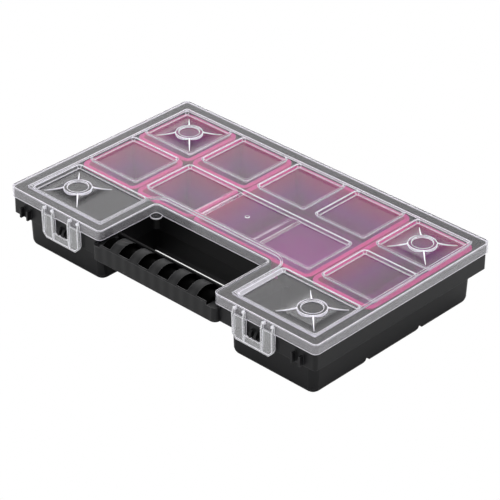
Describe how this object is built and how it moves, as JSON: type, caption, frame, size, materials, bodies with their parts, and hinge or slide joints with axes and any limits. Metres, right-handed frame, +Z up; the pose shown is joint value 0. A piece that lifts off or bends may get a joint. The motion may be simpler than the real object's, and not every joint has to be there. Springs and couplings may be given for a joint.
{
  "type": "drawer organizer box",
  "caption": "Low carry case with a hinged frosted lid, two snap latches, a front grip and lift-out bins.",
  "frame": {"origin": "middle of the bounding box in plan, on the floor under the closed box", "axes": "+X along the long front from the left latch to the right latch, +Y from the grip to the lid hinge, +Z up"},
  "size_m": [0.39, 0.246, 0.0645],
  "materials": {
    "body_plastic": "fine grained charcoal",
    "lid_frost": "frosted translucent",
    "latch_frost": "milky translucent",
    "bin_pink": "smooth raspberry"
  },
  "bodies": {
    "tub": {"base": "body_plastic", "handle": "body_plastic", "bin_rear_left": "bin_pink", "bin_front_left": "bin_pink", "bin_rear_mid": "bin_pink", "bin_front_mid": "bin_pink", "bin_wide": "bin_pink", "bin_long": "bin_pink"},
    "cover": {"lid": "lid_frost"},
    "left_catch": {"latch_left": "latch_frost"},
    "right_catch": {"latch_right": "latch_frost"}
  },
  "joints": [
    {"name": "lid_hinge", "type": "hinge", "parent": "tub", "child": "cover", "pos_m": [0, 0.1204, 0.0502], "axis": [-1, 0, 0], "range_deg": [0, 115]},
    {"name": "latch_left_hinge", "type": "hinge", "parent": "cover", "child": "left_catch", "pos_m": [-0.123, -0.1202, 0.0613], "axis": [-1, 0, 0], "range_deg": [0, 100]},
    {"name": "latch_right_hinge", "type": "hinge", "parent": "cover", "child": "right_catch", "pos_m": [0.123, -0.1202, 0.0613], "axis": [-1, 0, 0], "range_deg": [0, 100]}
  ]
}
